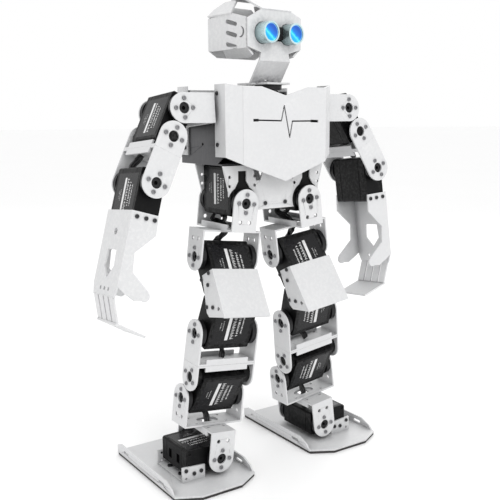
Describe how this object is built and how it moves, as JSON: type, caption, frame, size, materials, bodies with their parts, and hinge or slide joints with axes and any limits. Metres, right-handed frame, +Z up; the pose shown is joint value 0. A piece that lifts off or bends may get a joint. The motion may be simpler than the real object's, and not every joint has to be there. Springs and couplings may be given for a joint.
{
  "type": "humanoid robot kit",
  "caption": "Desktop humanoid robot kit: servo legs and arms in folded white brackets, two feet, hooked hands, panning head with glowing range-sensor eyes.",
  "frame": {"origin": "ground level, under the middle of the whole robot", "axes": "+Z up, the robot faces -Y, its right side is towards -X"},
  "size_m": [0.2686, 0.1202, 0.3778],
  "materials": {
    "white_coat": "satin white powder coat on folded sheet",
    "servo_black": "fine-grained black moulding",
    "frame_black": "matt black powder coat",
    "screw_steel": "zinc-plated steel screws",
    "sole_rubber": "matt black rubber sheet",
    "battery_wrap": "shrink-wrapped battery",
    "circuit_board": "solder-masked circuit board",
    "sensor_black": "black board and silvered sensor cans",
    "eye_lens": "lit sensor face behind a mesh"
  },
  "bodies": {
    "torso": {"chest_cover": "white_coat", "back_cover": "white_coat", "torso_frame": "frame_black", "pelvis_plates": "white_coat", "torso_servos": "servo_black", "battery_pack": "battery_wrap", "controller_board": "circuit_board", "head_pan_servo": "servo_black", "torso_screws": "screw_steel"},
    "head": {"head_face": "white_coat", "skull_shell": "white_coat", "eye_sensor": "sensor_black", "eye_lenses": "eye_lens", "head_pan_horn": "servo_black"},
    "right_shoulder": {"right_shoulder_bracket": "white_coat", "right_shoulder_horns": "servo_black"},
    "right_upper_arm": {"right_upper_arm_servo": "servo_black", "right_upper_arm_bracket": "white_coat", "right_elbow_horns": "servo_black"},
    "right_forearm": {"right_elbow_servo": "servo_black", "right_hand": "white_coat", "right_hand_screws": "screw_steel"},
    "right_hip": {"right_hip_bracket": "white_coat", "right_hip_horns": "servo_black"},
    "right_thigh": {"right_thigh_servos": "servo_black", "right_thigh_cover": "white_coat", "right_thigh_screws": "screw_steel"},
    "right_shin": {"right_shin_bracket": "white_coat", "right_shin_horns": "servo_black", "right_ankle_pitch_servo": "servo_black"},
    "right_ankle": {"right_ankle_bracket": "white_coat", "right_ankle_horns": "servo_black"},
    "right_foot": {"right_ankle_roll_servo": "servo_black", "right_foot_bracket": "white_coat", "right_foot_plate": "white_coat", "right_foot_sole": "sole_rubber", "right_foot_screws": "screw_steel"},
    "left_shoulder": {"left_shoulder_bracket": "white_coat", "left_shoulder_horns": "servo_black"},
    "left_upper_arm": {"left_upper_arm_servo": "servo_black", "left_upper_arm_bracket": "white_coat", "left_elbow_horns": "servo_black"},
    "left_forearm": {"left_elbow_servo": "servo_black", "left_hand": "white_coat", "left_hand_screws": "screw_steel"},
    "left_hip": {"left_hip_bracket": "white_coat", "left_hip_horns": "servo_black"},
    "left_thigh": {"left_thigh_servos": "servo_black", "left_thigh_cover": "white_coat", "left_thigh_screws": "screw_steel"},
    "left_shin": {"left_shin_bracket": "white_coat", "left_shin_horns": "servo_black", "left_ankle_pitch_servo": "servo_black"},
    "left_ankle": {"left_ankle_bracket": "white_coat", "left_ankle_horns": "servo_black"},
    "left_foot": {"left_ankle_roll_servo": "servo_black", "left_foot_bracket": "white_coat", "left_foot_plate": "white_coat", "left_foot_sole": "sole_rubber", "left_foot_screws": "screw_steel"}
  },
  "joints": [
    {"name": "head_pan", "type": "hinge", "parent": "torso", "child": "head", "pos_m": [0.00751, -0.02709, 0.31114], "axis": [0, 0, 1], "range_deg": [-67.5, 52.5]},
    {"name": "right_hip_roll", "type": "hinge", "parent": "torso", "child": "right_hip", "pos_m": [-0.02349, -0.01459, 0.22074], "axis": [0, 1, 0], "range_deg": [-5, 9]},
    {"name": "right_hip_pitch", "type": "hinge", "parent": "right_hip", "child": "right_thigh", "pos_m": [-0.02882, -0.01459, 0.17606], "axis": [-0.993, 0, 0.1184], "range_deg": [-45, 70]},
    {"name": "right_knee", "type": "hinge", "parent": "right_thigh", "child": "right_shin", "pos_m": [-0.03583, -0.02449, 0.1173], "axis": [0.993, 0, -0.1184], "range_deg": [-20, 85]},
    {"name": "right_ankle_pitch", "type": "hinge", "parent": "right_shin", "child": "right_ankle", "pos_m": [-0.0424, -0.01207, 0.06218], "axis": [-0.993, 0, 0.1184], "range_deg": [-40, 40]},
    {"name": "right_ankle_roll", "type": "hinge", "parent": "right_ankle", "child": "right_foot", "pos_m": [-0.04772, -0.01207, 0.0175], "axis": [0, 1, 0], "range_deg": [-20, 20]},
    {"name": "right_shoulder_pitch", "type": "hinge", "parent": "torso", "child": "right_shoulder", "pos_m": [-0.04399, -0.00629, 0.29134], "axis": [-1, 0, 0], "range_deg": [-60, 120]},
    {"name": "right_shoulder_roll", "type": "hinge", "parent": "right_shoulder", "child": "right_upper_arm", "pos_m": [-0.07149, -0.00629, 0.29134], "axis": [0, 0.9962, -0.0872], "range_deg": [-4, 60]},
    {"name": "right_elbow", "type": "hinge", "parent": "right_upper_arm", "child": "right_forearm", "pos_m": [-0.09813, -0.01093, 0.23834], "axis": [0, -0.9962, 0.0872], "range_deg": [-60, 12]},
    {"name": "left_hip_roll", "type": "hinge", "parent": "torso", "child": "left_hip", "pos_m": [0.03851, -0.01459, 0.22074], "axis": [0, -1, 0], "range_deg": [-5, 9]},
    {"name": "left_hip_pitch", "type": "hinge", "parent": "left_hip", "child": "left_thigh", "pos_m": [0.04414, -0.01459, 0.17609], "axis": [-0.9921, 0, -0.1251], "range_deg": [-45, 70]},
    {"name": "left_knee", "type": "hinge", "parent": "left_thigh", "child": "left_shin", "pos_m": [0.05163, -0.0193, 0.11675], "axis": [0.9921, 0, 0.1251], "range_deg": [-20, 85]},
    {"name": "left_ankle_pitch", "type": "hinge", "parent": "left_shin", "child": "left_ankle", "pos_m": [0.05851, -0.00494, 0.06215], "axis": [-0.9921, 0, -0.1251], "range_deg": [-40, 40]},
    {"name": "left_ankle_roll", "type": "hinge", "parent": "left_ankle", "child": "left_foot", "pos_m": [0.06414, -0.00494, 0.0175], "axis": [0, -1, 0], "range_deg": [-20, 20]},
    {"name": "left_shoulder_pitch", "type": "hinge", "parent": "torso", "child": "left_shoulder", "pos_m": [0.05901, -0.00629, 0.29134], "axis": [-1, 0, 0], "range_deg": [-60, 120]},
    {"name": "left_shoulder_roll", "type": "hinge", "parent": "left_shoulder", "child": "left_upper_arm", "pos_m": [0.08651, -0.00629, 0.29134], "axis": [0, -0.9962, 0.0872], "range_deg": [-4, 60]},
    {"name": "left_elbow", "type": "hinge", "parent": "left_upper_arm", "child": "left_forearm", "pos_m": [0.11653, -0.01077, 0.24016], "axis": [0, 0.9962, -0.0872], "range_deg": [-60, 12]}
  ]
}
